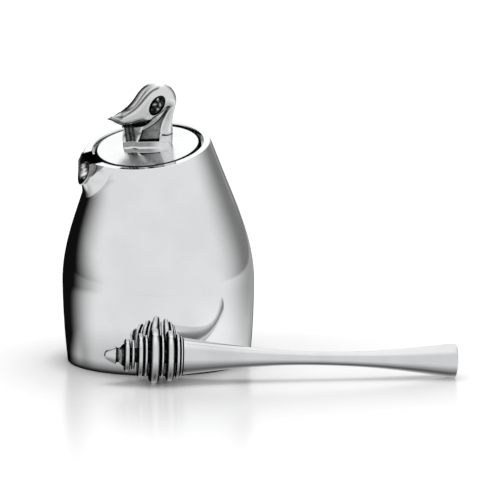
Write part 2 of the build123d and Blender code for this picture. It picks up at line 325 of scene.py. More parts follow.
def polished(name, tone, cloudy, rough_low, rough_high, wave, grain_scale=900.0):
    """Hand-polished cast metal: faint clouding, a little uneven roughness and a very soft waviness, darkened by
    painted shade and painted reflections stored per vertex.
    """
    material = bpy.data.materials.new(name)
    material.use_nodes = True
    tree = material.node_tree
    shader = tree.nodes["Principled BSDF"]
    place = add_node(tree, "ShaderNodeTexCoord").outputs["Object"]
    clouds = add_node(tree, "ShaderNodeTexNoise", {"Vector": place, "Scale": 55.0, "Detail": 3.0}).outputs[0]
    grain = add_node(tree, "ShaderNodeTexNoise", {"Vector": place, "Scale": grain_scale, "Detail": 2.0}).outputs[0]
    slow = add_node(tree, "ShaderNodeTexNoise", {"Vector": place, "Scale": 38.0, "Detail": 1.0}).outputs[0]
    # The vertex attribute read here holds painted shade and painted dark reflections, lower where highlights are
    # painted; it darkens the base colour and specular tint towards black.
    painted_shade = add_node(tree, "ShaderNodeAttribute", attribute_name="painted_shade").outputs["Fac"]
    painted_shade = calc(tree, "MINIMUM", calc(tree, "MULTIPLY", painted_shade, remap(tree, grain, 0.3, 0.7, 0.97, 1.10)), 1.0)
    colour = mix_colour(tree, remap(tree, clouds, 0.35, 0.65), cloudy, tone)
    colour = mix_colour(tree, painted_shade, colour, (0.010, 0.010, 0.011))
    tree.links.new(colour, shader.inputs["Base Color"])
    edge_tone = mix_colour(tree, painted_shade, (1.0, 1.0, 1.0), (0.02, 0.02, 0.02))
    tree.links.new(edge_tone, shader.inputs["Specular Tint"])
    rough = calc(tree, "MULTIPLY_ADD", grain, 0.4, calc(tree, "MULTIPLY", clouds, 0.6))
    rough = remap(tree, rough, 0.35, 0.65, rough_low, rough_high)
    rough = calc(tree, "ADD", rough, calc(tree, "MULTIPLY", painted_shade, 0.15))
    satin = add_node(tree, "ShaderNodeAttribute", attribute_name="satin").outputs["Fac"]
    rough = calc(tree, "ADD", rough, calc(tree, "MULTIPLY", satin, 0.22))
    tree.links.new(rough, shader.inputs["Roughness"])
    bump = add_node(tree, "ShaderNodeBump", {"Strength": 1.0, "Distance": wave, "Height": slow}).outputs[0]
    tree.links.new(bump, shader.inputs["Normal"])
    shader.inputs["Metallic"].default_value = 1.0
    return material


POT = polished("pot_metal", (0.93, 0.935, 0.945), (0.89, 0.895, 0.905), 0.02, 0.06, 0.00004)
LID = polished("lid_metal", (0.94, 0.945, 0.95), (0.91, 0.915, 0.92), 0.02, 0.05, 0.00002)
KNOB = polished("knob_metal", (0.97, 0.975, 0.98), (0.93, 0.935, 0.945), 0.03, 0.08, 0.00003)
DIPPER = polished("dipper_metal", (0.80, 0.805, 0.815), (0.74, 0.745, 0.755), 0.05, 0.11, 0.00002)
INSIDE = polished("inside_metal", (0.80, 0.81, 0.82), (0.72, 0.73, 0.74), 0.22, 0.34, 0.00003)
STEEL = polished("fastener_steel", (0.60, 0.61, 0.63), (0.50, 0.51, 0.53), 0.20, 0.32, 0.00001)

# ---------------------------------------------------------------- pot
COLUMNS = 540
theta = np.linspace(0, 2 * np.pi, COLUMNS, endpoint=False)


def outer_ring(h, extra=0.0):
    """Ring of the outer surface, swelling towards the notch's lip."""
    hs = np.full(COLUMNS, float(h))
    p = on_section(hs, body_r(hs), theta)
    a, b, c = notch_coords(p)
    away = from_u(a, b)
    slope = 1 - (away - LIP_W + 0.8) / FLARE
    flare = np.minimum((slope + np.sqrt(slope ** 2 + CREASE ** 2)) / 2, 1.0)
    swell = np.where(c > 0, 0.86 * lip_rise(hs) * flare, 0)
    return on_section(hs, body_r(hs) + swell + extra, theta), swell


rings = []
for h, extra in ((0.0, -0.5), (0.04, -0.3), (0.15, -0.12), (0.35, -0.02), (0.6, 0.0)):
    rings.append(outer_ring(h, extra)[0])
for h in np.concatenate([np.arange(2, 76, 2.0), np.arange(76, RIM_H - 0.5, 0.5)]):
    rings.append(outer_ring(h)[0])
top_swell = outer_ring(RIM_H)[1]
for step in range(1, 7):
    turn = radians(15 * step)
    for_r = float(body_r(RIM_H - 0.6)) - 0.5 + 0.5 * cos(turn) + top_swell
    ring = RIM_X * np.cos(theta)[:, None] + RIM_Y * np.sin(theta)[:, None]
    rings.append(RIM_C + for_r[:, None] * ring + (-0.5 + 0.5 * sin(turn)) * RIM_N)
outer_r = float(body_r(RIM_H - 0.6)) - 0.5
for share in np.linspace(0, 1, 8)[1:]:
    r = outer_r + top_swell * (1 - share) - (outer_r - BORE_R - 0.5) * share
    ring = RIM_X * np.cos(theta)[:, None] + RIM_Y * np.sin(theta)[:, None]
    rings.append(RIM_C + r[:, None] * ring)
outer_count = len(rings)
for step in range(1, 7):
    turn = radians(15 * step)
    rings.append(on_rim(BORE_R + 0.5 - 0.5 * sin(turn), -0.5 + 0.5 * cos(turn), theta))
for z in (-1.2, -2.0, -SEAT_DEPTH):
    rings.append(on_rim(BORE_R, z, theta))
for r in (BORE_R - 0.05, MOUTH_R + 1.2, MOUTH_R + 0.3):
    rings.append(on_rim(r, -SEAT_DEPTH, theta))
for z in (-SEAT_DEPTH - 0.3, -5.0, -7.0, -COLLAR_DEPTH + 0.1, -COLLAR_DEPTH):
    rings.append(on_rim(MOUTH_R, z, theta))

# Where the inner wall meets the underside of the collar.
low, high = np.full(COLUMNS, 60.0), np.full(COLUMNS, RIM_H + 10)
for _ in range(40):
    mid = (low + high) / 2
    p = on_section(mid, body_r(mid) - WALL, theta)
    above = (p - RIM_C) @ RIM_N > -COLLAR_DEPTH
    high = np.where(above, mid, high)
    low = np.where(above, low, mid)
meet = (low + high) / 2
edge = on_section(meet, body_r(meet) - WALL, theta)
mouth_edge = on_rim(MOUTH_R, -COLLAR_DEPTH, theta)
for share in (0.25, 0.5, 0.75, 1.0):
    rings.append(mouth_edge * (1 - share) + edge * share)
for share in np.linspace(0, 1, 46)[1:]:
    hs = meet * (1 - share) + 12.5 * share
    rings.append(on_section(hs, body_r(hs) - WALL, theta))
for turn in np.radians(np.arange(10, 91, 10)):
    hs = np.full(COLUMNS, 12.5 - 8 * sin(turn))
    rings.append(on_section(hs, body_r(hs) - WALL - 8 * (1 - cos(turn)), theta))
flat = np.zeros(COLUMNS)
for r, z in ((33.0, 4.5), (33.0, 2.5), (38.55, 2.5), (38.55, 0.0), (40.5, 0.0), (42.5, 0.0)):
    rings.append(on_section(flat, flat + r, theta) + np.array([0, 0, z]))

points = np.concatenate(rings)
a, b, c = notch_coords(points)
cut = (c > 0) & (from_u(a, b) < LIP_W / 2) & (b < 0.5)
faces = [f for f in weave(len(rings), COLUMNS) if not all(cut[i] for i in f)]
used = sorted({i for f in faces for i in f})
place = {old: new for new, old in enumerate(used)}
shell = make_object(
    "pot_shell", points[used], [tuple(place[i] for i in f) for f in faces], POT, "pot", ("pot_body",), 35
)
shell.data.materials.append(INSIDE)
inner_from = (outer_count + 6) * COLUMNS
for poly, f in zip(shell.data.polygons, faces):
    if min(f) >= inner_from:
        poly.material_index = 1


def painted_facet_reflection(a, b):
    """Painted dark reflection: a three-cornered patch beside each top corner of the notch."""
    t = (np.abs(a) - NOTCH_W / 2) / 6.5
    return smooth(t, -0.02, 0.04) * (1 - smooth(t, 0.9, 1.0)) * smooth(b + 7.5 * (1 - t), 0.0, 0.6) * (b < 0.2)


# Painted dark reflection beside the notch's top corners on the outer shell.
shell_dark = 0.62 * painted_facet_reflection(a, b) * (c > 0) * (np.arange(len(points)) < (outer_count - 8) * COLUMNS)
# Painted shade along the bottom edge of the foot, below 0.7 mm.
paint_shade(shell, np.where(points[:, 2] < 0.7, 0.88, shell_dark)[used])


# Raised lip of the notch, swept round its U. It also lines the cut through the collar.
def lip_surface(a, b):
    """How far out the raised lip stands, at places of the notch's plane."""
    base = RIM_C + a[..., None] * ACROSS + b[..., None] * RIM_N
    low, high = np.full(a.shape, 12.0), np.full(a.shape, 50.0)
    for _ in range(36):
        mid = (low + high) / 2
        p = base + mid[..., None] * OUT
        beyond = outside(p) - lip_rise(height_of(p)) > 0
        high = np.where(beyond, mid, high)
        low = np.where(beyond, low, mid)
    return (low + high) / 2


half = NOTCH_W / 2
b0 = half - NOTCH_DEPTH
path = [(half, b, 1.0, 0.0, BORE_R) for b in np.linspace(-0.03, b0, 8)]
arc = np.radians(np.linspace(0, 180, 73))
for k, turn in enumerate(arc[1:-1]):
    ledge = sin(turn) * half > SEAT_DEPTH + b0
    row = (half * cos(turn), b0 - half * sin(turn), cos(turn), -sin(turn))
    before = path[-1][4]
    now = MOUTH_R if ledge else BORE_R
    if now != before:
        path.append((*row, before))
    path.append((*row, now))
path += [(-half, b, -1.0, 0.0, BORE_R) for b in np.linspace(b0, -0.03, 8)]
path = np.array(path)
R_OUT, R_IN = 0.9, 0.35


def drop(t, r):
    """How far a rounded band's face falls away near its two edges."""
    near = np.minimum(t, LIP_W - t)
    return np.where(near < r, r - np.sqrt(np.maximum(0, r ** 2 - (r - near) ** 2)), 0)


ts = LIP_W * (0.5 - 0.5 * np.cos(np.pi * np.linspace(0, 1, 25)))
A = path[:, None, 0] + ts * path[:, None, 2]
B = path[:, None, 1] + ts * path[:, None, 3]
C_out = lip_surface(A, B) - drop(ts, R_OUT)
C_in = np.sqrt(np.maximum(1, (path[:, None, 4] + 0.04) ** 2 - A ** 2)) + drop(ts, R_IN)
# Across the thickness of the cut: 0 at the inside, 1 at the outer edge.
depth = np.linspace(0, 1, 22)[1:-1]
A_cut, B_cut = np.repeat(A[:, :1], len(depth), 1), np.repeat(B[:, :1], len(depth), 1)
C_cut = C_in[:, :1] + (C_out[:, :1] - C_in[:, :1]) * depth
A = np.concatenate([A, A[:, ::-1], A_cut], 1)
B = np.concatenate([B, B[:, ::-1], B_cut], 1)
C = np.concatenate([C_out, C_in[:, ::-1], C_cut], 1)
band = RIM_C + A[..., None] * ACROSS + B[..., None] * RIM_N + C[..., None] * OUT
loop = band.shape[1]
lip_faces = weave(band.shape[0], loop, flip=True)
last = (band.shape[0] - 1) * loop
lip_faces.append(tuple(range(loop)))
lip_faces.append(tuple(range(last + loop - 1, last - 1, -1)))
lip = make_object("notch_lip", band.reshape(-1, 3), lip_faces, POT, "pot", (), 35)
# Painted shade on the lip: near black on its inner face and across the cut, with a painted highlight streak wandering
# along the cut's face; a dark line along the U's edge and the painted dark reflection beside the top corners.
wander = 0.81 + 0.03 * np.sin(1.9 * B_cut) + 0.03 * np.sin(4.7 * B_cut)
low_end = smooth(-B_cut, 6.5, 9.0)
cut_dark = 0.97 - 0.95 * np.exp(-((depth - wander) / (0.09 + 0.08 * low_end)) ** 2) * (0.8 + 0.2 * np.sin(5.0 * B_cut))
top_painted_reflection = 0.62 * painted_facet_reflection(A[:, :len(ts)], B[:, :len(ts)])
side_dark = np.maximum(np.where(ts < 0.25, 0.9, 0.0) * np.ones_like(C_out), top_painted_reflection)
lip_dark = np.concatenate([side_dark, np.full_like(C_in, 0.95), cut_dark], 1)
paint_shade(lip, lip_dark.reshape(-1))

# ---------------------------------------------------------------- lid
LID_R = BORE_R - LID_GAP
LID_TOP = LID_EDGE + LID_CROWN
fall = [(LID_EDGE + LID_CROWN * (LID_R - 0.6 - r) / (LID_R - 0.6 - LAND_R - 0.6), r)
        for r in (LAND_R + 0.6, LID_R - 1.8, LID_R - 1.5, LID_R - 1.2, LID_R - 0.6)]
lid_profile = rounded(
    [(LID_TOP, 2.25)] + fall + [(LID_EDGE - 0.6, LID_R), (0.0, LID_R), (0.0, LID_R - 4.5), (0.8, LID_R - 4.5),
     (0.8, 2.25), (LID_TOP, 2.25)],
    [0, 30.0, 0, 0, 0, 0.4, 0.4, 0.2, 0.1, 0.1, 0, 0],
    9,
)
lid_base = RIM_C - (LID_RECESS + LID_EDGE) * RIM_N
# Painted shade on the lid's rounded edge and side, which draws the dark gap round the lid.
lid_dark = [0.96 * float(smooth(r, LID_R - 1.5, LID_R - 1.15)) for z, r in lid_profile]


def ring_share(angle):
    """How strong the painted shade round the lid's edge is, by angle: darkest at the right, faint at the far left."""
    at = np.degrees(angle)
    return 1 - 0.75 * smooth(at, 88, 112) * (1 - smooth(at, 150, 175))


LID_SEGMENTS = 300
lid = lathe(
    "lid_plate", lid_profile, lid_base, RIM_N, RIM_X, LID, "lid", ("lid_disc",),
    LID_SEGMENTS, 38, lid_dark, ring_share
)
satin = lid.data.attributes.new("satin", "FLOAT", "POINT")
from_axis = np.concatenate([np.full(LID_SEGMENTS, r) for z, r in lid_profile])
beyond_land = smooth(from_axis, LAND_R - 0.2, LAND_R + 1.5)
satin.data.foreach_set("value", beyond_land * (1 - smooth(from_axis, LID_R - 1.9, LID_R - 1.6)))

# ---------------------------------------------------------------- knob
turn = radians(-10)
KNOB_U = RIM_X * cos(turn) + RIM_Y * sin(turn)
KNOB_W = np.cross(KNOB_U, RIM_N)
KNOB_O = RIM_C + 0.5 * RIM_N
REACH, TALL, HALF = 17.8, 30.5, 4.8


def share_point(x, z):
    return (x * REACH, z * TALL)


foot_front, foot_back = (-10.8, 0.0), (11.7, 0.0)
tip = share_point(-1, 0.423)
root = share_point(-0.53, 0.325)
crown = curve_through(
    [foot_back]
    + [share_point(*s) for s in (
        (0.70, 0.16), (0.705, 0.29), (0.745, 0.435), (0.845, 0.61), (0.885, 0.73), (0.82, 0.865),
        (0.65, 0.965), (0.405, 1.0), (0.155, 0.965), (-0.075, 0.86), (-0.25, 0.73), (-0.58, 0.55))]
    + [tip], 420)
under = curve_through([root, share_point(-0.74, 0.36), tip], 200)
neck = curve_through([root, share_point(-0.60, 0.15), foot_front], 200)
border = np.concatenate([crown[::-1], curve_through([foot_back, foot_front], 90)[1:]])


def polyline_distance(q, line):
    """Distance to a polyline, and on which side of it: positive on its right."""
    line = np.asarray(line, float)
    best = np.full(len(q), 1e9)
    side = np.zeros(len(q))
    for p0, p1 in zip(line[:-1], line[1:]):
        d = p1 - p0
        s = np.clip(((q - p0) @ d) / (d @ d), 0, 1)
        off = q - p0 - s[:, None] * d
        dist = np.linalg.norm(off, axis=1)
        nearer = dist < best
        cross = d[0] * (q - p0)[:, 1] - d[1] * (q - p0)[:, 0]
        side = np.where(nearer, -np.sign(cross), side)
        best = np.where(nearer, dist, best)
    return best, side


crease = curve_through(
    [(-17.2, 14.6), (-13.0, 14.7), (-9.6, 15.5), (-3.6, 18.6), (2.2, 24.4), (6.4, 27.9), (9.8, 29.1)], 60)
jaw_line = curve_through([(-17.4, 14.2), (-12.0, 13.6), (-8.4, 13.4), (-3.5, 14.4), (0.4, 15.8), (2.0, 17.0)], 60)
jaw_edge = curve_through([(-9.6, 10.2), (-4.0, 10.3), (0.8, 11.2), (5.5, 14.8), (10.0, 17.9), (13.6, 20.6)], 60)
ribbon_edge = curve_through([(-0.6, 8.4), (3.2, 10.4), (7.2, 13.3), (10.2, 16.6), (12.9, 20.0)], 60)
back_edge = curve_through([(13.9, 19.6), (11.2, 16.4), (9.4, 13.0), (7.9, 9.0), (6.9, 4.0)], 60)
PANEL_LOW, BAR_LOW, BAR_HIGH = 3.3, 2.8, 4.0
EYE = (7.6, 20.9)
# Painted highlights in the eye's painted shade: place across and up, width, height and strength.
GLINTS = (
    (0.1, 2.3, 0.40, 0.95, 0.85), (-1.6, -0.3, 0.80, 0.45, 0.95),
    (0.9, -0.5, 0.45, 0.85, 0.6), (-0.3, -2.6, 0.5, 0.4, 0.7),
)


def bump(x, middle, width):
    return np.exp(-((x - middle) / width) ** 2)


def knob_relief(q):
    """Half thickness of the knob and how dark it is painted, at places of its side view: painted shade in its recesses
    and painted reflections.
    """
    u, v = q[:, 0], q[:, 1]
    side = HALF - (HALF - 1.7) * np.clip((-9.5 - u) / 8.3, 0, 1)
    d_crown, _ = polyline_distance(q, crown[::4])
    reach = 1.6 + 4.2 * smooth(u, -14, 3)
    t = np.clip(d_crown / reach, 0, 1)
    top = side * np.sqrt(1 - 0.985 * (1 - 0.88 * t) ** 2) / sqrt(1 - 0.985 * 0.12 ** 2)
    bevel = side * (0.30 + 0.70 * np.clip(d_crown / 2.6, 0, 1))
    top = top + (bevel - top) * (1 - smooth(u, -12, -4))
    # Crown band over a creased line, and the bill's underside below the jaw line.
    d_crease, s_crease = polyline_distance(q, crease)
    above = d_crease * -s_crease
    top -= 0.55 * bump(above, 0.0, 0.5) * (1 - smooth(u, 7, 9.5))
    d_jaw, s_jaw = polyline_distance(q, jaw_line)
    under_jaw = d_jaw * s_jaw
    forward = 1 - smooth(u, 0.5, 4.5)
    head = top - 0.62 * np.minimum(np.maximum(under_jaw, 0), 0.8 * side) * forward
    d_edge, s_edge = polyline_distance(q, jaw_edge)
    below_edge = d_edge * s_edge
    # Neck: shallow upright flutes in front, the sunk panel, and a rounded strip behind.
    flute = 0.75 * bump(u, -6.4, 1.9)
    d_ribbon, s_ribbon = polyline_distance(q, ribbon_edge)
    d_back, s_back = polyline_distance(q, back_edge)
    front_side = u + 2.9 - 0.42 * (v - PANEL_LOW)
    in_panel = (
        smooth(d_ribbon * s_ribbon, 0.0, 0.5)
        * smooth(d_back * s_back, 0.0, 0.5)
        * smooth(front_side, 0.0, 0.6)
        * smooth(v, PANEL_LOW - 0.25, PANEL_LOW + 0.25)
        * (1 - smooth(v, 17.0, 19.0))
    )
    lower = np.minimum(top, HALF - 0.15 * (1 - smooth(u, 10, 12.5))) - flute - 1.2 * in_panel
    lower += 0.55 * bump(v, -0.2, 0.8) - 0.45 * bump(v, 2.2, 1.0)
    lower -= 0.5 * bump(d_back, 0, 0.5) * smooth(v, 4, 7)
    on_neck = smooth(below_edge, -0.15, 0.35)
    half_t = head + (lower - head) * on_neck
    half_t -= 0.75 * bump(below_edge, -0.1, 0.55) * smooth(u, -8, 0) * (1 - smooth(u, 12, 14))
    # Eye: a steep oval hollow with a soft raised border.
    lean_eye = radians(35)
    eu = (u - EYE[0]) * cos(lean_eye) - (v - EYE[1]) * sin(lean_eye)
    ev = (u - EYE[0]) * sin(lean_eye) + (v - EYE[1]) * cos(lean_eye)
    e = np.hypot(eu / 2.9, ev / 5.3)
    half_t += 0.18 * bump(e, 1.13, 0.12)
    half_t -= 2.5 * np.sqrt(np.clip(1 - e ** 2, 0, 1)) ** 0.8
    d_under, _ = polyline_distance(q, under[::4])
    d_neck, _ = polyline_distance(q, neck[::4])
    for d in (d_under, d_neck):
        half_t -= 0.5 * (1 - np.sqrt(1 - (1 - np.clip(d / 0.6, 0, 1)) ** 2))

    # Painted shade in the recesses: crease, jaw, curves, eye, panel, neck and foot; painted reflections as ripples on
    # the crown band, stripes under the jaw and streaks down the neck's front; painted highlights in the eye.
    ripple = np.cos(2 * np.pi * (above - 0.35 * np.sin(0.45 * u)) / 1.7 + 0.8)
    mid_band = smooth(u, -13, -6) * (1 - smooth(u, 1.5, 8))
    dark = 0.84 * bump(above, 0.1, 0.5) * smooth(u, -13, -5) * (1 - smooth(u, 8, 10))
    dark = np.maximum(dark, (0.50 + 0.30 * ripple) * bump(above, 1.8, 1.4) * mid_band)
    dark = np.maximum(dark, 0.12 * (above < 0))
    in_jaw = smooth(under_jaw, -0.1, 0.3) * (1 - on_neck) * forward
    # Painted reflection: stripes under the jaw.
    stripes = 0.5 + 0.5 * np.cos(2 * np.pi * under_jaw / 1.25)
    dark = np.maximum(dark, in_jaw * (0.50 + 0.44 * stripes) * (1 - 0.5 * bump(u, 1.5, 1.6)))
    dark = np.maximum(dark, 0.97 * bump(below_edge, 0.0, 0.42) * (1 - 0.5 * smooth(u, 8, 12)) * (u < 13.2))
    ribbon = on_neck * (1 - smooth(d_ribbon * s_ribbon, -0.7, -0.3)) * smooth(u, -1.5, 0.5) * (1 - smooth(u, 5, 11))
    dark = np.maximum(dark, 0.55 * ribbon)
    tail = smooth(u, 6, 12)
    dark = np.maximum(dark, 0.98 * bump(d_ribbon, 0, 0.45 + 0.35 * tail) * (v < 20.2))
    dark = np.maximum(dark, 0.75 * bump(d_back, 0, 0.35) * smooth(v, 12, 15))
    # Painted shade in the sunk panel.
    panel_painted_shade = 0.74 + 0.12 * smooth(-u, -6, 1) - 0.16 * bump(v, 8.0, 2.4) * smooth(u, -1, 3)
    dark = np.where(in_panel > 0.5, np.maximum(dark, panel_painted_shade), dark)
    dark = np.maximum(dark, 0.97 * bump(front_side, 0.1, 0.42) * (v > BAR_LOW) * (v < 9.0) * on_neck)
    # Painted shadow: a black bar along the panel's bottom.
    bar = (front_side > -0.4) * (d_back * s_back > 0.2) * smooth(v, BAR_LOW - 0.2, BAR_LOW + 0.1)
    dark = np.maximum(dark, 0.98 * bar * (1 - smooth(v, BAR_HIGH - 0.1, BAR_HIGH + 0.3)))
    # Painted reflection: streaks down the neck's front.
    streaks = 0.5 + 0.5 * np.sin(3.4 * u + 0.6 * np.sin(0.9 * v))
    in_front = on_neck * (1 - smooth(front_side, -1.5, -0.9)) * smooth(u, -9.6, -8.9) * smooth(v, 1.6, 3.4)
    dark = np.maximum(dark, in_front * (0.80 + 0.16 * streaks) * (1 - 0.30 * smooth(u, -5.0, -3.4)))
    # Painted shade low on the neck, above its foot.
    foot = on_neck * smooth(v, 0.35, 0.6) * (1 - smooth(v, 2.2, 3.0)) * (1 - smooth(u, 1, 9))
    dark = np.maximum(dark, 0.62 * foot)
    glint = sum(size * bump(u - EYE[0], x, wide) * bump(v - EYE[1], y, tall) for x, y, wide, tall, size in GLINTS)
    dark = np.where(e < 1.05, np.maximum(0.97 - np.clip(glint, 0, 0.9), 0.97 * smooth(e, 0.72, 0.85)), dark)
    return np.maximum(half_t, 0.25), dark


ROWS = 130
ease = 0.5 - 0.5 * np.cos(np.pi * np.linspace(0, 1, ROWS))
root_point = np.array(root)


def along_curve(line, shares):
    index = shares * (len(line) - 1)
    return np.stack([np.interp(index, np.arange(len(line)), line[:, k]) for k in (0, 1)], -1)


def bow(line):
    """How far a curve from the root bows off its chord."""
    return along_curve(line, ease) - (line[0] + ease[:, None] * (line[-1] - line[0]))


walk = np.concatenate([[0], np.cumsum(np.linalg.norm(np.diff(border, axis=0), axis=1))])
near_tip, near_foot = np.exp(-walk / 3.0), np.exp(-(walk[-1] - walk) / 3.0)
sheet = (
    root_point
    + ease[None, :, None] * (border[:, None] - root_point)
    + near_tip[:, None, None] * bow(under)
    + near_foot[:, None, None] * bow(neck)
)
flat_sheet = sheet.reshape(-1, 2)
half_t, dark = knob_relief(flat_sheet)
columns = len(border)


def knob_at(q, w):
    return KNOB_O + q[:, :1] * KNOB_U + q[:, 1:] * RIM_N + w[:, None] * KNOB_W


points = np.concatenate([knob_at(flat_sheet, half_t), knob_at(flat_sheet, -half_t)])
size = len(flat_sheet)
faces = []
for i in range(columns - 1):
    for k in range(ROWS - 1):
        p, q = i * ROWS + k, (i + 1) * ROWS + k
        if k == 0:
            faces.append((0, p + 1, q + 1))
            faces.append((size, size + q + 1, size + p + 1))
        else:
            faces.append((p, p + 1, q + 1, q))
            faces.append((size + p, size + q, size + q + 1, size + p + 1))
for i in range(columns - 1):
    p, q = i * ROWS + ROWS - 1, (i + 1) * ROWS + ROWS - 1
    faces.append((p, size + p, size + q, q))
for k in range(ROWS - 1):
    p, q = (k, k + 1) if k else (0, 1)
    faces.append((p, size + p, size + q, q))
    end = (columns - 1) * ROWS
    p, q = (end + k, end + k + 1) if k else (0, end + 1)
    faces.append((p, q, size + q, size + p))
used = sorted({i for f in faces for i in f})
place = {old: new for new, old in enumerate(used)}
bird = make_object(
    "bird_knob", points[used], [tuple(place[i] for i in f) for f in faces], KNOB, "lid", ("knob",), 42
)
paint_shade(bird, np.concatenate([dark, dark])[used])

# ---------------------------------------------------------------- dipper
DISCS = (
    (2.7, 7.5, 0.5), (1.6, 6.8, 1.1), (2.7, 9.9, 0.4), (1.6, 9.2, 0.7), (4.6, 12.5, 0.5),
    (1.4, 9.7, 1.1), (3.6, 11.4, 0.8), (1.6, 10.0, 0.4), (0.9, 8.8, 0.3),
)
NOSE_L, NOSE_R, SPINDLE, NECK_L, NECK_R = 5.6, 4.3, 3.3, 3.4, 5.4
starts, spot = [], NOSE_L + NECK_L
for width, radius, gap in DISCS:
    starts.append(spot)
    spot += width + gap
head_end, handle_start = spot - DISCS[-1][2], spot
HANDLE_L, END_R = 125.0, 7.6
total = handle_start + HANDLE_L
wide_rest = starts[4] + DISCS[4][0] * (1 - 0.42)
pitch = atan2(DISCS[4][1] - END_R, total - 0.6 - wide_rest)
yaw = radians(5.4)
AXIS = np.array([cos(pitch) * cos(yaw), cos(pitch) * sin(yaw), -sin(pitch)])
NOSE = np.array([0, -(BELLY_R + DISCS[4][1] + 0.5), DISCS[4][1] * cos(pitch)]) - AXIS * wide_rest
SIDE = unit(np.cross(AXIS, (0, 0, 1)))

nose = curve_through([(0.0, 0.0), (0.35, 1.25), (NOSE_L * 0.35, NOSE_R * 0.62), (NOSE_L - 0.6, NOSE_R)], 24)
profile = [tuple(p) for p in nose]
corners = [(NOSE_L - 0.6, NOSE_R), (NOSE_L, NOSE_R * 0.8), (NOSE_L, SPINDLE), (NOSE_L + NECK_L / 3, SPINDLE),
           (NOSE_L + NECK_L, NECK_R), (NOSE_L + NECK_L, SPINDLE)]
neck_line = np.array(rounded(corners, [0, 0.2, 0, 0.6, 0.3, 0], 4)[1:])
for p, q in zip(neck_line[:-1], neck_line[1:]):
    parts = max(1, int((q[0] - p[0]) / 0.2))
    profile += [tuple(p + (q - p) * k / parts) for k in range(parts)]
profile.append(tuple(neck_line[-1]))
for start, (width, radius, gap) in zip(starts, DISCS):
    shape = rounded(
        [(start, SPINDLE), (start, radius), (start + width, radius), (start + width, SPINDLE)],
        [0, width * 0.47, width * 0.47, 0], 10)
    profile += [tuple(p) for p in shape]
profile.append((head_end, 0.0))
profile[0] = (0.0, 0.0)
crest = np.array([start + width / 2 for start, (width, radius, gap) in zip(starts, DISCS)])
half_width = np.array([width / 2 for width, radius, gap in DISCS])
# Painted shade on the discs' flanks and in the gaps between them, a painted highlight band round the neck, and darker
# points on the axis.
ring_dark = []
for z, r in profile:
    flank = np.min(np.abs(z - crest) / half_width)
    behind_nose = smooth(z, NOSE_L - 0.5, NOSE_L)
    painted_neck_highlight = 1 - 0.85 * np.exp(-((z - NOSE_L - 0.45 * NECK_L) / 0.55) ** 2)
    ring_dark.append(0.96 * max(smooth(flank, 0.36, 0.74) * behind_nose * painted_neck_highlight, 0.8 * (r < 0.7)))
lathe("dipper_rings", profile, NOSE, AXIS, SIDE, DIPPER, "dipper", ("dipper_head",), 220, 50, ring_dark)

grip = curve_through(
    [(handle_start, 8.4), (handle_start + 16.4, 6.2), (handle_start + 43.0, 3.6), (handle_start + 66.0, 3.1),
     (handle_start + 98.0, 4.7), (total - 3.0, END_R)], 150)
profile = [(handle_start, 0.0), (handle_start, 8.0), (handle_start + 0.15, 8.3)] + [tuple(p) for p in grip[1:]]
profile += [(total - 3.0 + s, END_R) for s in (0.8, 1.6)]
profile += [tuple(p) for p in rounded([(total - 0.9, END_R), (total, END_R), (total, 0.0)], [0, 0.6, 0], 8)[:-1]]
profile.append((total, 0.0))
lathe("dipper_grip", profile, NOSE, AXIS, SIDE, DIPPER, "dipper", ("dipper_handle",), 220, 50)

# ---------------------------------------------------------------- CAD nodes that stay
for name, material in (
    ("base_plate", POT), ("knob_screw", STEEL), ("knob_washer", STEEL), ("knob_dowel", STEEL), ("dipper_stud", STEEL)
):
    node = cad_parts[name]
    node.data.materials.clear()
    node.data.materials.append(material)

# ---------------------------------------------------------------- stage
floor_mesh = bpy.data.meshes.new("floor")
FLOOR_HALF = 4.0
floor_corners = [(x * FLOOR_HALF, y * FLOOR_HALF, 0) for x, y in ((-1, -1), (1, -1), (1, 1), (-1, 1))]
floor_mesh.from_pydata(floor_corners, [], [(0, 1, 2, 3)])
floor = bpy.data.objects.new("floor", floor_mesh)
bpy.context.scene.collection.objects.link(floor)
floor_material = bpy.data.materials.new("floor_white")
floor_material.use_nodes = True
tree = floor_material.node_tree
shader = tree.nodes["Principled BSDF"]
shader.inputs["Base Color"].default_value = (0.74, 0.74, 0.74, 1)
shader.inputs["Roughness"].default_value = 0.22
shader.inputs["Emission Color"].default_value = (1, 1, 1, 1)
# Painted shadow round the pieces: the floor's glow is weak near them and grows with distance into a white floor.
spot = add_node(tree, "ShaderNodeTexCoord").outputs["Object"]
away = add_node(tree, "ShaderNodeVectorMath", {0: spot, 1: (0.04, -0.03, 0.0)}, operation="DISTANCE").outputs["Value"]
light = calc(tree, "ADD", remap(tree, away, 0.06, 0.20, 0.01, 0.22), remap(tree, away, 0.25, 1.20, 0.0, 0.26))
tree.links.new(light, shader.inputs["Emission Strength"])
tree.links.new(remap(tree, away, 0.15, 0.60, 0.35, 0.0), shader.inputs["Specular IOR Level"])
floor_mesh.materials.append(floor_material)
floor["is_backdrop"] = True

floor.visible_glossy = False


def mirror_only(name, points, material):
    """A flat card that only mirrors see."""
    mesh = bpy.data.meshes.new(name)
    mesh.from_pydata(points, [], [tuple(range(len(points)))])
    obj = bpy.data.objects.new(name, mesh)
    bpy.context.scene.collection.objects.link(obj)
    obj.visible_camera = obj.visible_diffuse = obj.visible_shadow = obj.visible_transmission = False
    mesh.materials.append(material)
    obj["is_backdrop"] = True
    return obj


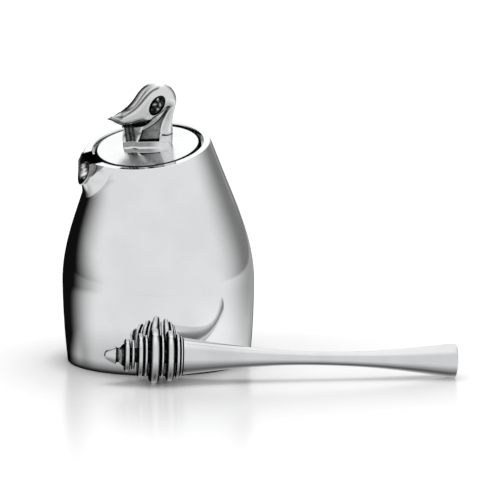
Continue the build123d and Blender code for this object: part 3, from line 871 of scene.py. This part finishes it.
def glow(name):
    """Emission mixed with see-through; returns the tree and the mixer."""
    material = bpy.data.materials.new(name)
    material.use_nodes = True
    tree = material.node_tree
    tree.nodes.remove(tree.nodes["Principled BSDF"])
    light = add_node(tree, "ShaderNodeEmission", {"Color": (0.0, 0.0, 0.0, 1), "Strength": 1.0})
    clear = add_node(tree, "ShaderNodeBsdfTransparent")
    mixer = add_node(tree, "ShaderNodeMixShader", {0: 0.5, 1: clear.outputs[0], 2: light.outputs[0]})
    tree.links.new(mixer.outputs[0], tree.nodes["Material Output"].inputs["Surface"])
    return material, tree, mixer


lamp = bpy.data.objects.new("softbox", bpy.data.lights.new("softbox", "AREA"))
bpy.context.scene.collection.objects.link(lamp)
lamp.data.size = 0.8
lamp.data.energy = 7.8
lamp.location = (0.0, 0.15, 1.1)
lamp.rotation_euler = (Vector((0.03, -0.03, 0.0)) - lamp.location).to_track_quat("-Z", "Y").to_euler()
lamp.visible_glossy = False

# Dark cards that only the metal mirrors: a painted reflection of the table's front edge, and a painted shadow round
# the pot's foot.
edge_material, tree, mixer = glow("painted_table_edge_dark")
mixer.inputs[0].default_value = 0.08
edge_strip = [(-0.9, -0.272, 0.0004), (0.9, -0.272, 0.0004), (0.9, -0.266, 0.0004), (-0.9, -0.266, 0.0004)]
mirror_only("painted_table_edge", edge_strip, edge_material)
shade_material, tree, mixer = glow("foot_shade")
spot = add_node(tree, "ShaderNodeTexCoord").outputs["Object"]
gap = add_node(tree, "ShaderNodeVectorMath", {0: spot}, operation="LENGTH").outputs["Value"]
shade = calc(tree, "ADD", remap(tree, gap, 0.042, 0.058, 0.60, 0.0), remap(tree, gap, 0.048, 0.130, 0.30, 0.0))
sideways = add_node(tree, "ShaderNodeSeparateXYZ", {0: spot}).outputs[0]
tree.links.new(calc(tree, "MULTIPLY", shade, remap(tree, sideways, 0.0, 0.05, 1.0, 0.45)), mixer.inputs[0])
SHADE_R, SHADE_CORNERS = 0.13, 32
turns = [2 * pi * k / SHADE_CORNERS for k in range(SHADE_CORNERS)]
mirror_only("foot_shade", [(SHADE_R * cos(t), SHADE_R * sin(t), 0.0003) for t in turns], shade_material)

# Studio that mirrors see: a wide soft light in front and above, a black flag behind on the left, grey on the
# right. It lights the floor too, and the camera sees plain white in its place.
world = bpy.data.worlds.new("studio")
bpy.context.scene.world = world
world.use_nodes = True
tree = world.node_tree
background = tree.nodes["Background"]
direction = add_node(tree, "ShaderNodeTexCoord").outputs["Generated"]
dx, dy, dz = add_node(tree, "ShaderNodeSeparateXYZ", {0: direction}).outputs
left_turn = calc(tree, "MULTIPLY", calc(tree, "ARCTAN2", calc(tree, "MULTIPLY", dx, -1.0), dy), 57.29578)
rise = calc(tree, "MULTIPLY", calc(tree, "ARCSINE", dz), 57.29578)
below = calc(tree, "MAXIMUM", calc(tree, "MULTIPLY", rise, -1.0), 0.0)


FRONT_LIGHT, FLAG = 0.78, 0.005


def surround(turn, side_level, side_start, side_end):
    """Level round the pot, by degrees to the left of straight behind it.

    A wide light in front fades into a grey side on the right and into a black flag behind on the left.
    """
    on_right = remap(tree, turn, side_start, side_end, FRONT_LIGHT, side_level)
    behind_left = remap(tree, turn, 55.0, 115.0, FLAG, FRONT_LIGHT)
    return mix_colour(tree, remap(tree, turn, -4.0, 0.0), on_right, behind_left)


on_left = remap(tree, left_turn, 10.0, 45.0)
twist = calc(tree, "MULTIPLY", calc(tree, "MINIMUM", calc(tree, "SUBTRACT", rise, 3.0), 7.0), 1.2)
deeper = calc(tree, "MAXIMUM", calc(tree, "SUBTRACT", below, 11.0), 0.0)
low_twist = calc(tree, "ADD", remap(tree, below, 8.5, 11.0, -2.0, 9.5), calc(tree, "MULTIPLY", deeper, 0.8))
twisted = calc(tree, "ADD", left_turn, calc(tree, "MULTIPLY", twist, on_left))
low_twist = calc(tree, "MULTIPLY", low_twist, on_left)
rest = calc(tree, "MULTIPLY", calc(tree, "MULTIPLY", below, 0.9), calc(tree, "SUBTRACT", 1.0, on_left))
shifted = calc(tree, "ADD", left_turn, calc(tree, "ADD", low_twist, rest))
level_high = surround(twisted, 0.20, -105.0, -45.0)
level_low = surround(shifted, 0.35, -90.0, -30.0)
to_right = remap(tree, left_turn, -40.0, -10.0, 1.0, 0.0)
to_right = calc(tree, "MULTIPLY", to_right, remap(tree, left_turn, -150.0, -110.0))
deep_right = calc(tree, "MULTIPLY", remap(tree, below, 9.0, 19.0), to_right)
level_low = mix_colour(tree, deep_right, level_low, (1.0, 1.0, 1.0))
to_left = calc(tree, "MULTIPLY", remap(tree, left_turn, 4.0, 10.0), remap(tree, left_turn, 60.0, 80.0, 1.0, 0.0))
deep_left = calc(tree, "MULTIPLY", remap(tree, below, 13.2, 17.2), to_left)
level_low = mix_colour(tree, deep_left, level_low, (0.72, 0.72, 0.72))
level_low = mix_colour(tree, remap(tree, below, 18.0, 27.0), level_low, (0.72, 0.72, 0.72))
level_low = mix_colour(tree, remap(tree, below, 24.0, 64.0), level_low, (0.36, 0.36, 0.36))
level_low = mix_colour(tree, remap(tree, below, 58.0, 86.0), level_low, (0.12, 0.12, 0.12))
colour = mix_colour(tree, remap(tree, rise, -4.5, -2.5), level_low, level_high)
softbox = calc(tree, "ADD", calc(tree, "MULTIPLY", dy, 0.64), calc(tree, "MULTIPLY", dz, 0.77))
softbox = calc(tree, "MAXIMUM", remap(tree, softbox, 0.80, 0.90), remap(tree, rise, 44.0, 84.0))
colour = mix_colour(tree, softbox, colour, (1.06, 1.06, 1.06))
# The white backdrop low behind the pot, which the table's gloss mirrors to the camera.
backdrop = calc(tree, "MULTIPLY", remap(tree, left_turn, 10.0, 15.0, 1.0, 0.0), remap(tree, left_turn, -34.0, -9.0))
backdrop = calc(tree, "MULTIPLY", backdrop, remap(tree, rise, 0.0, 6.0))
backdrop = calc(tree, "MULTIPLY", backdrop, remap(tree, rise, 15.0, 28.0, 1.0, 0.0))
colour = mix_colour(tree, backdrop, colour, (1.0, 1.0, 1.0))
paths = add_node(tree, "ShaderNodeLightPath")
colour = mix_colour(tree, paths.outputs["Is Camera Ray"], colour, (1.0, 1.0, 1.0))
tree.links.new(colour, background.inputs["Color"])
background.inputs["Strength"].default_value = 1.0

# ---------------------------------------------------------------- camera
camera = bpy.data.objects.new("camera", bpy.data.cameras.new("camera"))
bpy.context.scene.collection.objects.link(camera)
camera.location = (0.0405, -1.3, 0.2513)
camera.rotation_euler = (radians(90 - 8.61), 0, 0)
camera.data.sensor_width = 36.0
camera.data.lens = 2797.0 * 36.0 / 489.0
camera.data.clip_start, camera.data.clip_end = 0.05, 50.0
bpy.context.scene.camera = camera
bpy.context.scene.view_settings.view_transform = "Standard"

bpy.context.view_layer.update()
low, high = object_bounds()
